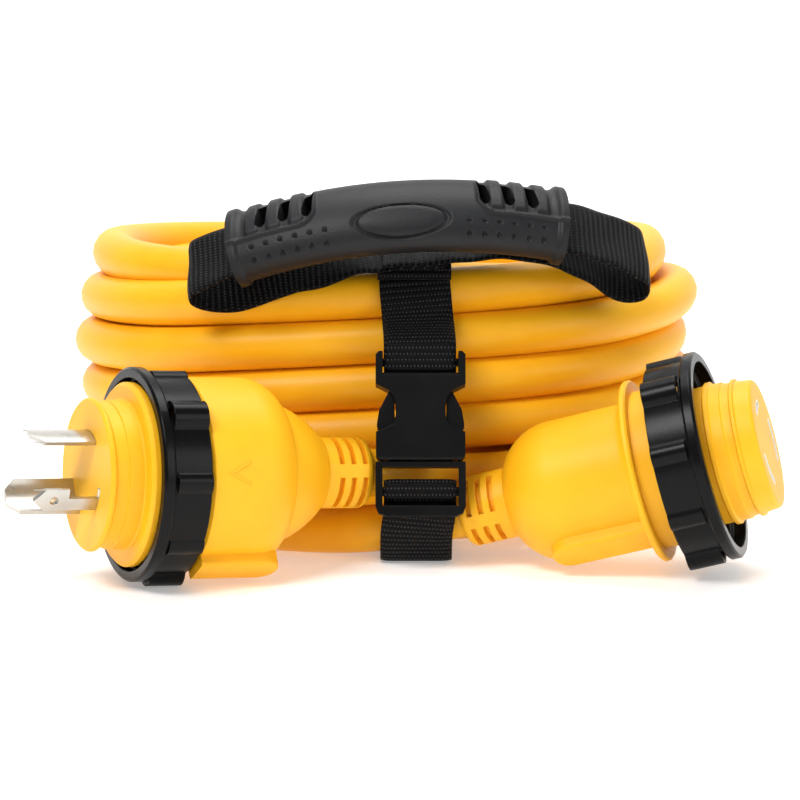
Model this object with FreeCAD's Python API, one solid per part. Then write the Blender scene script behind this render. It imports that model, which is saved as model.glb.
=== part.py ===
import FreeCAD, Part
import math
import os

V = FreeCAD.Vector

# ------------------------------------------------------------------ driving dimensions, mm
CORD_D = 17.0                 # jacket of a cord with three 10 AWG conductors
CORD_R = CORD_D / 2
WEB_W = 25.4                  # 1 inch webbing
WEB_T = 1.6
GAP = 0.3                     # room left between soft pieces

# Middle of the whole object's box, in the coil's own axes. The model is moved so that this
# point is the origin.
BOX_CENTRE = V(5.52, -44.99, 0)

# The coil: a rounded rectangle of two columns of cord, standing on the ground
COIL_STRAIGHT = 50.0
COIL_END_R = 96.5             # outside radius of each rounded end
COIL_COLUMNS = 2
COIL_H = 102.0
COIL_EDGE_R = CORD_R
CHANNEL_DEPTH = 0.25          # how far the strap presses into the cords
# Where the front of the bundle is lower: along X, its depth, and its top there
STEP_X, STEP_DEPTH, STEP_Z = (-98.0, -34.0), 21.5, 89.0

# The plug: where the cord leaves it, and where its nose points
PLUG_L = 103.0
PLUG_END = V(-7.0, -117.0, 33.0)
PLUG_YAW, PLUG_PITCH = 204.4, 3.7
PLUG_FACE_R = 26.2
PLUG_SHOULDER_R = 31.6
PLUG_BARREL_R = 33.4
PLUG_DOME_Z = -54.0           # where the barrel starts to round off
RING_AT_PLUG = 15.0           # from the face back to the front of the locking ring

# The connector
CONN_L = 111.0
CONN_END = V(29.0, -114.0, 18.0)
CONN_YAW, CONN_PITCH = -13.0, 15.2
CONN_NOSE_R = 23.4
CONN_DRUM_R = 27.9
CONN_FLANGE_R = 32.3
CONN_BELL_R = 24.9
FLANGE_Z = -42.0
RING_AT_CONN = 17.2

# Both bodies
KEEL_W = 13.0
NECK_R = 27.9                 # the ring and its seal run on this
RELIEF_R = 12.5
RELIEF_L = 18.0
CORE_R = 20.5
WIRE_R = 2.4

# The locking ring, the same at both ends
RING_L = 17.5
RIM_T = 4.2
RING_OUT_R = 36.8
RING_BASE_R = 34.9
RING_IN_R = 33.2
LARGE_LOBE = (6.2, 32.2)      # radius, and distance of its middle from the axis
SMALL_LOBE = (4.6, 31.8)
HOLLOW = (2.6, 34.2, 9.0)     # radius, distance of its middle from the axis, depth
LIP_T = 3.0
RUN_FIT = 0.08                # radial clearance of the ring and the seal on the neck
SEAL_FIT = 0.05               # clearance of the ring's lip behind the seal
SEAL_T = 2.4

# The three curved blades: middle angle, angle covered, length out of the face
BLADE_R, BLADE_T = 14.5, 1.6
BLADES = {"hot": (80, 50, 22.0), "neutral": (222, 56, 25.0), "ground": (-26, 32, 23.0)}
SLOT_TURN = 46                # turn of the connector's slots against the mirrored blades

# The side release buckle, its middle and how far it leans back from the vertical
BUCKLE_MID = V(13.2, -124.4, 47.8)
BUCKLE_LEAN = 17.0
BUCKLE_W = 31.5
BUCKLE_L = 58.0
PRONG_ROOT = (12.2, -8.1)     # where a prong bends: beside and along the buckle's middle

# The carry handle: middle of its sewn seam, how far its face is turned up, and its roll
STRAP_X = 13.0
STRAP_FOOT_Y = -114.0         # where the strap leaves the ground
HANDLE_SEAM = V(6.0, -88.5, 105.6)
HANDLE_UP = 50.0
HANDLE_ROLL = 4.0
GRIP_HALF_L = 57.5
GRIP_ARC_R = 165.0
GRIP_W, GRIP_T = 31.0, 19.0
GRIP_RISE = 21.8              # from the seam out to the middle of the grip
SEAM_L = 26.4

NODES = {}


# ------------------------------------------------------------------ helpers
def unit(vector):
    return V(vector).normalize()


def frame(origin, x_axis, y_axis, z_axis):
    """Placement that puts a shape's own axes on the three given ones."""
    m = FreeCAD.Matrix(x_axis.x, y_axis.x, z_axis.x, origin.x,
                       x_axis.y, y_axis.y, z_axis.y, origin.y,
                       x_axis.z, y_axis.z, z_axis.z, origin.z,
                       0, 0, 0, 1)
    return FreeCAD.Placement(m)


def placed(shape, placement):
    moved = shape.copy()
    moved.Placement = placement.multiply(moved.Placement)
    return moved


def outline(items, to_space):
    """Closed wire through points; a pair of points is an arc through the first to the second."""
    edges = []
    start = here = to_space(*items[0])
    for item in items[1:]:
        if isinstance(item[0], tuple):
            middle, end = to_space(*item[0]), to_space(*item[1])
            edges.append(Part.Arc(here, middle, end).toShape())
        else:
            end = to_space(*item)
            edges.append(Part.makeLine(here, end))
        here = end
    if here.distanceToPoint(start) > 1e-6:
        edges.append(Part.makeLine(here, start))
    return Part.Wire(edges)


def turned(items, angle=360.0, start=0.0):
    """Solid of revolution about Z of an outline of (radius, z)."""
    face = Part.Face(outline(items, lambda r, z: V(r, 0, z)))
    solid = face.revolve(V(0, 0, 0), V(0, 0, 1), angle)
    solid.rotate(V(0, 0, 0), V(0, 0, 1), start)
    return solid


def tube_part(r_in, r_out, z_low, z_high, angle=360.0, middle=0.0):
    """A ring, or the part of one that covers an angle about its middle."""
    corners = [(r_in, z_low), (r_out, z_low), (r_out, z_high), (r_in, z_high)]
    return turned(corners, angle, middle - angle / 2)


def plate(items, low, high):
    """Flat plate of an outline of (x, y) between two heights."""
    face = Part.Face(outline(items, lambda x, y: V(x, y, low)))
    return face.extrude(V(0, 0, high - low))


def box(x0, x1, y0, y1, z0, z1):
    return Part.makeBox(x1 - x0, y1 - y0, z1 - z0, V(x0, y0, z0))


def rounded(points, radii=None):
    """Straight runs joined by tangent arcs. Without radii, each arc is as large as the
    runs allow. Gives the wire, its length and the radii."""
    edges, used, length = [], [], 0.0
    here = points[0]
    for i in range(1, len(points) - 1):
        before, after = points[i] - points[i - 1], points[i + 1] - points[i]
        half_turn = before.getAngle(after) / 2
        if radii:
            trim = radii[i - 1] * math.tan(half_turn)
        else:
            trim = 0.45 * min(before.Length, after.Length)
        radius = trim / math.tan(half_turn)
        inward = unit(unit(after) - unit(before))
        centre = points[i] + inward * (radius / math.cos(half_turn))
        start, end = points[i] - unit(before) * trim, points[i] + unit(after) * trim
        edges.append(Part.LineSegment(here, start).toShape())
        edges.append(Part.Arc(start, centre - inward * radius, end).toShape())
        used.append(radius)
        here = end
    edges.append(Part.LineSegment(here, points[-1]).toShape())
    for edge in edges:
        length += edge.Length
    return Part.Wire(edges), length, used


def tube(points, radius, radii=None):
    wire, length, used = rounded(points, radii)
    circle = Part.makeCircle(radius, points[0], unit(points[1] - points[0]))
    solid = wire.makePipeShell([Part.Wire([circle])], True, False)
    return solid, length, used


def cord_tube(name, points):
    """A free length of cord, with its size checks printed."""
    solid, length, used = tube(points, CORD_R)
    share = solid.Volume / (math.pi * CORD_R ** 2 * length)
    print(name, "length", round(length, 1), "radii", [round(r) for r in used],
          "volume / (section x length)", round(share, 4))
    return solid


def band(points, radii, across, width, thickness):
    """Flat webbing that follows a bent line; across is the direction of its width."""
    wire, _, _ = rounded(points, radii)
    along = unit(points[1] - points[0])
    normal = along.cross(across)
    side, lift = across * (width / 2), normal * (thickness / 2)
    corners = [points[0] + side + lift, points[0] - side + lift,
               points[0] - side - lift, points[0] + side - lift]
    profile = Part.makePolygon(corners + corners[:1])
    return wire.makePipeShell([profile], True, False)


def nose_direction(yaw, pitch):
    a, b = math.radians(yaw), math.radians(pitch)
    return V(math.cos(a) * math.cos(b), math.sin(a) * math.cos(b), math.sin(b))


def end_frame(cord_end, yaw, pitch, length):
    """Frame of a plug or connector: Z out of the nose, Y up, origin on the face."""
    z_axis = nose_direction(yaw, pitch)
    x_axis = unit(V(0, 0, 1).cross(z_axis))
    return frame(cord_end + z_axis * length, x_axis, z_axis.cross(x_axis), z_axis)


# ------------------------------------------------------------------ the strap's own line
def buckle_axes():
    lean = math.radians(BUCKLE_LEAN)
    up = V(0, math.sin(lean), math.cos(lean))
    out = V(0, -math.cos(lean), math.sin(lean))
    return up, out


def in_buckle(along, out_by):
    """Point of the strap's plane, given along and out of the buckle."""
    up, out = buckle_axes()
    point = BUCKLE_MID + up * along + out * out_by
    return V(STRAP_X, point.y, point.z)


def over_the_top(point, radius):
    """Angle above the horizontal, seen from the middle of the bundle's top edge, at which a
    strap from the point meets the edge, and the corner of the strap's two straight lines."""
    y, z = -COIL_END_R + COIL_EDGE_R, COIL_H - COIL_EDGE_R
    dy, dz = y - point.y, point.z - z
    angle = math.atan2(dz, dy) + math.acos(radius / math.hypot(dy, dz))
    reach = radius * math.tan((math.pi / 2 - angle) / 2)
    return math.degrees(angle), V(STRAP_X, y - reach, z + radius)


def strap_line():
    """Middle line of the strap, from its end behind the female bar, over the top of the
    bundle, down inside it, along the ground and up to the male half's bar."""
    off = GAP + WEB_T / 2
    y_in = -(COIL_END_R - COIL_COLUMNS * CORD_D) + off
    z_top, z_low = COIL_H + off, WEB_T / 2
    corner = COIL_EDGE_R + off
    fold = 2.3
    leaving = in_buckle(31.0, 2.4)
    points = [in_buckle(35.0, -2.4), in_buckle(22.7, -2.4), in_buckle(22.7, 2.4), leaving,
              over_the_top(leaving, corner)[1], V(STRAP_X, y_in, z_top),
              V(STRAP_X, y_in, z_low), V(STRAP_X, STRAP_FOOT_Y, z_low), in_buckle(-28.0, -2.4),
              in_buckle(-17.1, -2.4), in_buckle(-17.1, 2.4), in_buckle(-22.9, 2.4),
              in_buckle(-22.9, 0.3)]
    radii = [fold, fold, 12.0, corner, corner, corner, 8.0, 12.0, fold, fold, fold * 0.8]
    return points, radii


# ------------------------------------------------------------------ the cord
def rounded_rectangle(end_radius):
    half = COIL_STRAIGHT / 2
    return [(-half, -end_radius), (half, -end_radius), ((half + end_radius, 0), (half, end_radius)),
            (-half, end_radius), ((-half - end_radius, 0), (-half, -end_radius))]


def make_coil():
    outer = plate(rounded_rectangle(COIL_END_R), 0, COIL_H)
    inner = plate(rounded_rectangle(COIL_END_R - COIL_COLUMNS * CORD_D), 0, COIL_H)
    coil = outer.cut(inner)
    rims = [e for e in coil.Edges if abs(e.BoundBox.ZLength) < 1e-6]
    coil = coil.makeFillet(COIL_EDGE_R, rims)
    # the top turn moves to the inner column at the front left, so the outer one is lower there
    behind = plate(rounded_rectangle(COIL_END_R - STEP_DEPTH), 0, 2 * COIL_H)
    low_part = box(STEP_X[0], STEP_X[1], -COIL_END_R - 1, 0, STEP_Z, COIL_H + 1)
    coil = coil.cut(low_part.cut(behind))
    # the strap presses a shallow channel into the cords
    points, radii = strap_line()
    room = 2 * (GAP + CHANNEL_DEPTH)
    NODES["cord_coil"] = coil.cut(band(points, radii, V(1, 0, 0), WEB_W + room, WEB_T + room))


# Each lead starts straight out of its strain relief
PLUG_ROUTE = [PLUG_END, PLUG_END - nose_direction(PLUG_YAW, PLUG_PITCH) * 18.0,
              V(28.0, -94.5, 27.5), V(46.0, -86.0, 25.0)]
CONN_ROUTE = [CONN_END, CONN_END - nose_direction(CONN_YAW, CONN_PITCH) * 18.0,
              V(-12.0, -104.5, 9.6), V(-38.0, -94.0, 8.9), V(-62.0, -80.5, 8.6)]


def make_leads():
    NODES["plug_lead"] = cord_tube("plug_lead", PLUG_ROUTE)
    NODES["connector_lead"] = cord_tube("connector_lead", CONN_ROUTE)


# ------------------------------------------------------------------ plug and connector
def relief_cuts(end_z):
    """Three rows of slots round a strain relief that ends at end_z."""
    cuts = []
    for row in range(3):
        z = end_z + 3.4 + 4.4 * row
        for quarter in range(4):
            cuts.append(tube_part(RELIEF_R - 2.6, RELIEF_R + 3, z, z + 1.9, 68, 57 + 90 * quarter))
    return cuts


def wire_route(angle, start_z, end_z):
    """Conductor from a blade's tail to the middle of the strain relief."""
    direction = V(math.cos(math.radians(angle)), math.sin(math.radians(angle)), 0)
    far, near = BLADE_R, 3.4
    points = [(far, start_z), (far, start_z - 5), (near, start_z - 24), (near, end_z)]
    return [direction * r + V(0, 0, z) for r, z in points]


def wires(angles, start_z, end_z, radius):
    return [tube(wire_route(a, start_z, end_z), radius, [14.0, 14.0])[0] for a in angles]


def blade(name, grow=0.0, tail=36.0):
    """One curved blade; grow gives the slot that it stands in."""
    middle, spread, reach = BLADES[name]
    spread += math.degrees(2 * grow / BLADE_R)
    r_in, r_out = BLADE_R - BLADE_T / 2 - grow, BLADE_R + BLADE_T / 2 + grow
    if grow:
        return tube_part(r_in, r_out, -tail, 2, spread, middle)
    solid = tube_part(r_in, r_out, -tail, reach, spread, middle)
    across = BLADE_R * math.radians(spread)
    turn = V(0, 0, 1)
    if name == "ground":
        # narrow at the foot, with a step out to the hooked half, and a hole
        step = tube_part(r_in - 1, r_out + 1, -1 + 1.2, 10.5, spread / 2, middle + spread * 0.34)
        solid = solid.cut(step)
        hole = Part.makeCylinder(1.5, 10, V(BLADE_R - 5, 0, 15.5), V(1, 0, 0))
        hole.rotate(V(0, 0, 0), turn, middle)
        solid = solid.cut(hole)
    corner = 4.2
    for side in (-1, 1):
        wedge = plate([(0, 0), (corner, 0), (0, -corner)], -8, 8)
        wedge.rotate(V(0, 0, 0), V(1, 0, 0), 90)
        wedge.rotate(V(0, 0, 0), V(0, 0, 1), 90)
        if side > 0:
            wedge = wedge.mirror(V(0, 0, 0), V(0, 1, 0))
        wedge.translate(V(BLADE_R, side * across / 2, reach))
        wedge.rotate(V(0, 0, 0), turn, middle)
        solid = solid.cut(wedge)
    return solid


def plug_outline():
    s, b, d = PLUG_SHOULDER_R, PLUG_BARREL_R, PLUG_DOME_Z
    return [(0, 0), (PLUG_FACE_R - 0.8, 0), (PLUG_FACE_R, -0.8), (PLUG_FACE_R, -1.6),
            (24.8, -2.6), (24.9, -6.6), (25.5, -6.9), (25.6, -11.8), (26.2, -12.4),
            (s - 1.2, -12.6), (s, -13.8), (s, -16.0), (NECK_R, -16.0), (NECK_R, -33.5),
            (b - 1, -33.5), (b, -34.5), (b, d),
            ((30.6, d - 8.8), (24.6, d - 13.6)),
            ((20.8, d - 21.6), (RELIEF_R, -PLUG_L + RELIEF_L)),
            (RELIEF_R, -PLUG_L + 3.4), ((RELIEF_R - 1, -PLUG_L + 1), (RELIEF_R - 3.4, -PLUG_L)),
            (0, -PLUG_L)]


def conn_outline():
    n, d, f, bell = CONN_NOSE_R, CONN_DRUM_R, CONN_FLANGE_R, CONN_BELL_R
    back = FLANGE_Z - 2.6
    return [(0, 0), (n - 2.2, 0), ((n - 1.1, -0.4), (n - 0.6, -1.6)), (n, -5.9), (n + 0.9, -6.3),
            (n + 0.9, -7.3), (n, -7.7), (n + 0.2, -10.6), (n + 0.8, -10.9), (n + 0.8, -14.6),
            (n + 1.8, -15.0), (n + 1.8, -16.4), (n + 0.8, -16.8), (n + 0.8, -24.0),
            (30.6, -26.0), (30.6, -28.8), (d, -28.8), (d, FLANGE_Z), (f - 0.7, FLANGE_Z),
            (f, FLANGE_Z - 0.7), (f, back + 0.7), (f - 0.7, back), (bell + 3.0, back - 0.4),
            ((bell + 0.9, back - 1.2), (bell, back - 3.6)), (bell, -72.0),
            ((21.6, -85.2), (RELIEF_R, -CONN_L + RELIEF_L)),
            (RELIEF_R, -CONN_L + 3.4), ((RELIEF_R - 1, -CONN_L + 1), (RELIEF_R - 3.4, -CONN_L)),
            (0, -CONN_L)]


def keel(height, z_front, z_back, angle):
    """Wide flat rib along a body, rounded at its rear end, that shows which side is down."""
    half, low = KEEL_W / 2, 18.0
    top = plate([(z_front, -half), (z_front, half), (z_back + half, half),
                 ((z_back, 0), (z_back + half, -half))], low, height)
    edges = [e for e in top.Edges if abs(e.BoundBox.ZMin - height) < 1e-6
             and abs(e.BoundBox.ZMax - height) < 1e-6 and e.BoundBox.XMin < z_front - 1]
    top = top.makeFillet(1.4, edges)
    return on_side(top, angle)


def on_side(shape, angle):
    """Turns a shape made with x along a body and z out of it to that angle about the body."""
    shape.rotate(V(0, 0, 0), V(0, 1, 0), -90)
    outward = shape.mirror(V(0, 0, 0), V(1, 0, 0))
    outward.rotate(V(0, 0, 0), V(0, 0, 1), angle)
    return outward


def locking_ring(front_z):
    """Ring with a front rim, an inside thread, nine lobes and a rear lip. Every third lobe
    is a larger, hollow one."""
    back_z = front_z - RING_L
    lobes_z = front_z - RIM_T - 1.0
    ring = tube_part(RING_IN_R, RING_BASE_R, back_z, front_z)
    rim = turned([(RING_IN_R, front_z - RIM_T), (RING_OUT_R - 0.6, front_z - RIM_T),
                  (RING_OUT_R, front_z - RIM_T + 0.6), (RING_OUT_R, front_z - 0.8),
                  (RING_OUT_R - 0.8, front_z), (RING_IN_R, front_z)])
    lip = tube_part(NECK_R + RUN_FIT, RING_BASE_R, back_z, back_z + LIP_T)
    pieces, hollows = [rim, lip], []
    for lobe in range(9):
        large = lobe % 3 == 0
        radius, at = LARGE_LOBE if large else SMALL_LOBE
        knob = Part.makeCylinder(radius, lobes_z - back_z, V(at, 0, back_z))
        knob.rotate(V(0, 0, 0), V(0, 0, 1), 40 * lobe)
        pieces.append(knob)
        if large:
            hollow = Part.makeCylinder(HOLLOW[0], HOLLOW[2], V(HOLLOW[1], 0, lobes_z - HOLLOW[2]))
            hollow.rotate(V(0, 0, 0), V(0, 0, 1), 40 * lobe)
            hollows.append(hollow)
    ring = ring.multiFuse(pieces)
    inside = [(0, back_z + LIP_T), (RING_IN_R, back_z + LIP_T)]
    pitch, depth, turns = 3.1, 0.9, 3
    z = back_z + LIP_T + 2.6
    for _ in range(turns):
        inside += [(RING_IN_R, z), (RING_IN_R + depth, z + 0.9), (RING_IN_R + depth, z + 1.4),
                   (RING_IN_R, z + 2.3)]
        z += pitch
    inside += [(RING_IN_R, front_z + 1), (0, front_z + 1)]
    ring = ring.cut(turned(inside))
    ring = ring.cut(Part.makeCylinder(NECK_R + RUN_FIT, 3 * LIP_T, V(0, 0, back_z - LIP_T)))
    return ring.cut(Part.makeCompound(hollows)).removeSplitter()


def seal_washer(front_z):
    back_z = front_z - RING_L + LIP_T + SEAL_FIT
    return tube_part(NECK_R + RUN_FIT, RING_IN_R - 0.3, back_z, back_z + SEAL_T)


def make_plug():
    where = end_frame(PLUG_END, PLUG_YAW, PLUG_PITCH, PLUG_L)
    angles = [BLADES[name][0] for name in BLADES]
    core_front, core_back = -3.0, -27.0
    wire_start, wire_end = -36.0, -PLUG_L + 2.0
    core = Part.makeCylinder(CORE_R, core_front - core_back, V(0, 0, core_back))
    slots = [blade(name, 0.05, 60) for name in BLADES]
    chamber = turned([(0, core_back), (CORE_R, core_back), (CORE_R, -52.0), (9.0, -66.0),
                      (6.4, -80.0), (6.4, wire_end), (0, wire_end)])
    body = turned(plug_outline()).fuse(keel(36.8, -34.0, -64.0, -57))
    body = body.cut(Part.makeCompound(relief_cuts(-PLUG_L)))
    body = body.cut(core.fuse(chamber)).cut(Part.makeCompound(slots))
    # arrow that shows which way the plug turns, raised on the side
    arrow = on_side(plate([(-47.0, 4.4), (-39.0, 0), (-47.0, -4.4), (-47.0, -3.4), (-40.8, 0),
                           (-47.0, 3.4)], 20, 40), 9.5)
    skin = tube_part(PLUG_BARREL_R - 1, PLUG_BARREL_R + 0.35, -48, -36)
    body = body.fuse(arrow.common(skin)).removeSplitter()
    NODES["plug_body"] = placed(body, where)
    NODES["plug_core"] = placed(core.cut(Part.makeCompound(slots)), where)
    for name, angle, wire in zip(BLADES, angles, wires(angles, wire_start, wire_end, WIRE_R)):
        NODES["plug_blade_" + name] = placed(blade(name), where)
        NODES["plug_wire_" + name] = placed(wire, where)
    front = -RING_AT_PLUG
    NODES["plug_locking_ring"] = placed(turn_ring(locking_ring(front), 44), where)
    NODES["plug_ring_seal"] = placed(seal_washer(front), where)
    return where


def turn_ring(ring, angle):
    turned_ring = ring.copy()
    turned_ring.rotate(V(0, 0, 0), V(0, 0, 1), angle)
    return turned_ring


def slot_angle(name):
    """The connector's slots mirror the plug's blades."""
    return 180 - (SLOT_TURN - BLADES[name][0])


def contact(name):
    """Folded strip with two leaves that grip a blade, joined at its back."""
    middle, spread, _ = BLADES[name]
    angle, leaf = slot_angle(name), 0.9
    inner = tube_part(BLADE_R - BLADE_T / 2 - 0.2 - leaf, BLADE_R - BLADE_T / 2 - 0.2,
                      -36, -5, spread * 0.8, angle)
    outer = tube_part(BLADE_R + BLADE_T / 2 + 0.2, BLADE_R + BLADE_T / 2 + 0.2 + leaf,
                      -36, -5, spread * 0.8, angle)
    back = tube_part(BLADE_R - BLADE_T / 2 - 0.2 - leaf, BLADE_R + BLADE_T / 2 + 0.2 + leaf,
                     -38, -36, spread * 0.8, angle)
    return inner.multiFuse([outer, back]).removeSplitter()


def make_connector():
    where = end_frame(CONN_END, CONN_YAW, CONN_PITCH, CONN_L)
    core_front, core_back = -3.0, -38.0
    wire_start, wire_end = -38.0, -CONN_L + 2.0
    angles = [slot_angle(name) for name in BLADES]
    core = Part.makeCylinder(CORE_R, core_front - core_back, V(0, 0, core_back))
    entries, pockets = [], []
    for name in BLADES:
        spread, angle = BLADES[name][1] + 4, slot_angle(name)
        entries.append(tube_part(BLADE_R - 1.3, BLADE_R + 1.3, -5, 1, spread, angle))
        pockets.append(tube_part(BLADE_R - 2.1, BLADE_R + 2.1, -45, -4.9, spread, angle))
    openings = Part.makeCompound(entries + pockets)
    chamber = turned([(0, core_back), (CORE_R, core_back), (CORE_R, -56.0), (9.0, -70.0),
                      (6.4, -86.0), (6.4, wire_end), (0, wire_end)])
    body = turned(conn_outline()).fuse(keel(28.2, FLANGE_Z - 1.0, -80.0, 180 + 48.5))
    body = body.cut(Part.makeCompound(relief_cuts(-CONN_L)))
    body = body.cut(core.fuse(chamber)).cut(Part.makeCompound(entries)).removeSplitter()
    NODES["connector_body"] = placed(body, where)
    NODES["connector_core"] = placed(core.cut(openings), where)
    for name, wire in zip(BLADES, wires(angles, wire_start, wire_end, WIRE_R)):
        NODES["connector_contact_" + name] = placed(contact(name), where)
        NODES["connector_wire_" + name] = placed(wire, where)
    front = -RING_AT_CONN
    NODES["connector_locking_ring"] = placed(turn_ring(locking_ring(front), 6), where)
    NODES["connector_ring_seal"] = placed(seal_washer(front), where)
    return where


# ------------------------------------------------------------------ strap, buckle and handle
def make_strap():
    points, radii = strap_line()
    NODES["strap_webbing"] = band(points, radii, V(1, 0, 0), WEB_W, WEB_T)


def buckle_frame():
    up, out = buckle_axes()
    return frame(BUCKLE_MID, V(1, 0, 0), up, out)


def mirrored(points):
    """Both sides of a half outline of (x, y) that runs from the bottom to the top."""
    return points + [(-x, y) for x, y in reversed(points)]


def rounded_bar(low, high, half_thick):
    """Bar across the buckle that webbing turns round."""
    bar = box(-13.4, 13.4, low, high, -half_thick, half_thick)
    return bar.makeFillet(1.0, [e for e in bar.Edges if e.Length > 20])


def make_buckle():
    where = buckle_frame()
    half, end = BUCKLE_W / 2, BUCKLE_L / 2
    sleeve_low, sleeve_top, block_low, block_top = -9.4, 1.4, 15.2, 21.4
    back, front = -4.2, 4.8
    shell = plate(mirrored([(14.4, sleeve_low), (15.6, sleeve_low + 1.5), (15.6, sleeve_top - 1),
                            (13.0, sleeve_top), (9.4, 3.4), (8.7, 6.5), (8.7, 10.0),
                            (9.4, 13.0), (11.4, block_low), (half, 17.4), (half, end - 1.2),
                            (half - 1.2, end), (13.3, end), (13.3, block_top)]), back, front)
    cavity = box(-14, 14, sleeve_low - 1, block_low, -2.9, 3.3)
    bar = rounded_bar(24.2, 27.0, 1.4)
    shell = shell.cut(cavity).fuse(bar)
    edges = [e for e in shell.Edges if e.Length > 20 and abs(e.BoundBox.XLength - e.Length) < 0.01
             and abs(abs(e.BoundBox.Center.z - (back + front) / 2) - (front - back) / 2) < 0.01]
    shell = shell.makeChamfer(0.8, edges)
    NODES["buckle_female"] = placed(shell.removeSplitter(), where)

    frame_back, frame_front = -1.4, 3.2
    plate_outline = mirrored([(half - 3.5, -end), (half - 1, -end + 1), (half, -end + 3.5),
                              (half, -9.9)])
    male = plate(plate_outline, frame_back, frame_front)
    male = male.cut(box(-13.3, 13.3, -25.4, -11.8, -5, 5))
    bar = rounded_bar(-21.7, -18.5, 1.3)
    guide = box(-2.0, 2.0, -10.0, 12.0, -2.2, 2.6)
    male = male.multiFuse([bar, guide])
    NODES["buckle_male"] = placed(male.removeSplitter(), where)

    for name, side in (("buckle_prong_left", -1), ("buckle_prong_right", 1)):
        x = PRONG_ROOT[0]
        half_outline = [(x - 1.3, PRONG_ROOT[1]), ((x, PRONG_ROOT[1] - 1.3), (x + 1.3, PRONG_ROOT[1])),
                        (13.6, 0.8), (15.2, 1.9), (15.3, 3.2), (14.5, 8.3), (11.3, 14.6),
                        (9.2, 14.6), (9.0, 4.2), (10.9, 0.6)]
        prong = plate(half_outline, -2.5, 2.9)
        if side < 0:
            prong = prong.mirror(V(0, 0, 0), V(1, 0, 0))
        NODES[name] = placed(prong, where)
    return where


def handle_frame():
    up, roll = math.radians(HANDLE_UP), math.radians(HANDLE_ROLL)
    out = V(0, -math.cos(up), math.sin(up))
    across = V(0, math.sin(up), math.cos(up))
    along = V(1, 0, 0)
    turn = FreeCAD.Rotation(V(0, 1, 0), -math.degrees(roll))
    return frame(HANDLE_SEAM, turn.multVec(along), turn.multVec(across), turn.multVec(out))


def arc_height(u):
    """Height over the seam of the grip's middle line."""
    return GRIP_RISE - GRIP_ARC_R + math.sqrt(GRIP_ARC_R ** 2 - u ** 2)


def arc_tangent(u):
    """Height of the straight webbing that leaves the grip's arc just past its end."""
    angle = math.asin((GRIP_HALF_L + 3.5) / GRIP_ARC_R)
    return GRIP_RISE - GRIP_ARC_R + GRIP_ARC_R / math.cos(angle) - u * math.tan(angle)


def along_grip(section_wire, half_length):
    """Section in the plane u = 0, swept along the grip's arc to both sides."""
    half_angle = math.degrees(math.asin(half_length / GRIP_ARC_R))
    centre = V(0, 0, GRIP_RISE - GRIP_ARC_R)
    section = Part.Face(section_wire)
    section.rotate(centre, V(0, 1, 0), -half_angle)
    return section.revolve(centre, V(0, 1, 0), 2 * half_angle)


def oval(width, thickness, height):
    """Ellipse across the grip, long in the webbing's width."""
    ellipse = Part.Ellipse(V(0, 0, height), width / 2, thickness / 2)
    wire = Part.Wire([ellipse.toShape()])
    wire.rotate(V(0, 0, height), V(0, 0, 1), 90)
    wire.rotate(V(0, 0, height), V(0, 1, 0), 90)
    return wire


def slot_wire(width, thickness, height):
    w, t = width / 2, thickness / 2
    corners = [V(0, -w, height - t), V(0, w, height - t), V(0, w, height + t), V(0, -w, height + t)]
    return Part.makePolygon(corners + corners[:1])


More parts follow.
